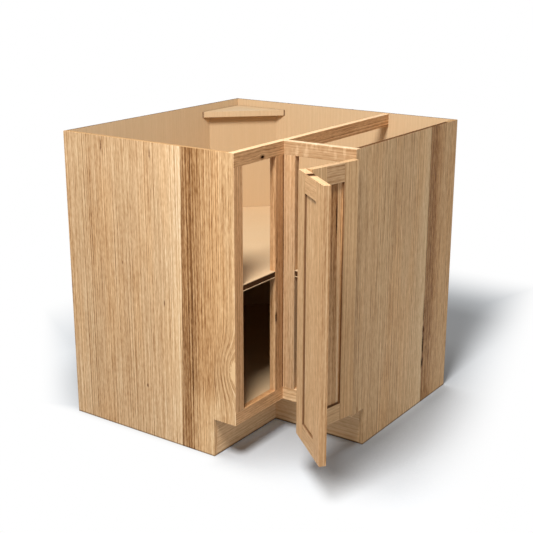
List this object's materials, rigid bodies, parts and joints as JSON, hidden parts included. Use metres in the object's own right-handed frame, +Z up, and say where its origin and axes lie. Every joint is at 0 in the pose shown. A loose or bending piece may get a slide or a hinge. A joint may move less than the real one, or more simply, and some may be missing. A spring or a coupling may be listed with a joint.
{
  "type": "easy reach corner base cabinet",
  "caption": "L-shaped kitchen corner base cabinet of knotty wood with an open top, a toe space, an L-shaped shelf and a folding corner door hinged on the right frame.",
  "frame": {"origin": "the room corner at floor level, where the outer planes of the two back panels and the floor meet", "axes": "+X along the right back wall towards the right end, +Y out through the right back wall, +Z up; the cabinet lies at positive X and negative Y"},
  "size_m": [0.954, 0.9365, 0.8763],
  "materials": {
    "knotty_wood": "satin clear coat",
    "maple_laminate": "smooth laminate",
    "dark_edging": "matt",
    "hinge_steel": "nickel plated"
  },
  "bodies": {
    "cabinet": {"left_end_panel": "knotty_wood", "right_end_panel": "knotty_wood", "right_back_strip": "knotty_wood", "left_back_panel": "maple_laminate", "right_back_panel": "maple_laminate", "diagonal_back_panel": "maple_laminate", "corner_brace": "maple_laminate", "top_stretcher": "knotty_wood", "floor_panel": "maple_laminate", "shelf_board": "maple_laminate", "shelf_edge_left": "dark_edging", "shelf_edge_right": "dark_edging", "shelf_cleat_left": "maple_laminate", "shelf_cleat_right": "maple_laminate", "shelf_cleat_back": "maple_laminate", "left_toe_board": "knotty_wood", "right_toe_board": "knotty_wood", "left_top_rail": "knotty_wood", "left_bottom_rail": "knotty_wood", "left_outer_stile": "knotty_wood", "left_inner_stile": "knotty_wood", "right_top_rail": "knotty_wood", "right_bottom_rail": "knotty_wood", "right_inner_stile": "knotty_wood", "right_outer_stile": "knotty_wood", "hinge_upper_base": "hinge_steel", "hinge_lower_base": "hinge_steel", "hinge_upper_pin": "hinge_steel", "hinge_lower_pin": "hinge_steel", "hinge_base_screws": "hinge_steel"},
    "door_leaf_1": {"leaf_1_hinge_stile": "knotty_wood", "leaf_1_fold_stile": "knotty_wood", "leaf_1_top_rail": "knotty_wood", "leaf_1_bottom_rail": "knotty_wood", "leaf_1_panel": "knotty_wood", "hinge_upper_arm": "hinge_steel", "hinge_lower_arm": "hinge_steel", "hinge_upper_cup": "hinge_steel", "hinge_lower_cup": "hinge_steel", "hinge_cup_screws": "hinge_steel", "fold_upper_plate_1": "hinge_steel", "fold_lower_plate_1": "hinge_steel", "fold_upper_pin": "hinge_steel", "fold_lower_pin": "hinge_steel", "fold_screws_1": "hinge_steel"},
    "door_leaf_2": {"leaf_2_fold_stile": "knotty_wood", "leaf_2_free_stile": "knotty_wood", "leaf_2_top_rail": "knotty_wood", "leaf_2_bottom_rail": "knotty_wood", "leaf_2_panel": "knotty_wood", "fold_upper_plate_2": "hinge_steel", "fold_lower_plate_2": "hinge_steel", "fold_screws_2": "hinge_steel"}
  },
  "joints": [
    {"name": "leaf_1_swing", "type": "hinge", "parent": "cabinet", "child": "door_leaf_1", "pos_m": [0.8242, -0.602, 0.4925], "axis": [0, 0, 1], "range_deg": [-80, 20]},
    {"name": "leaf_2_fold", "type": "hinge", "parent": "door_leaf_1", "child": "door_leaf_2", "pos_m": [0.80142, -0.79223, 0.4925], "axis": [0, 0, -1], "range_deg": [-30, 7.5]}
  ],
  "couplings": [
    {"joint": "leaf_2_fold", "follows": "leaf_1_swing", "ratio": 0.375}
  ]
}
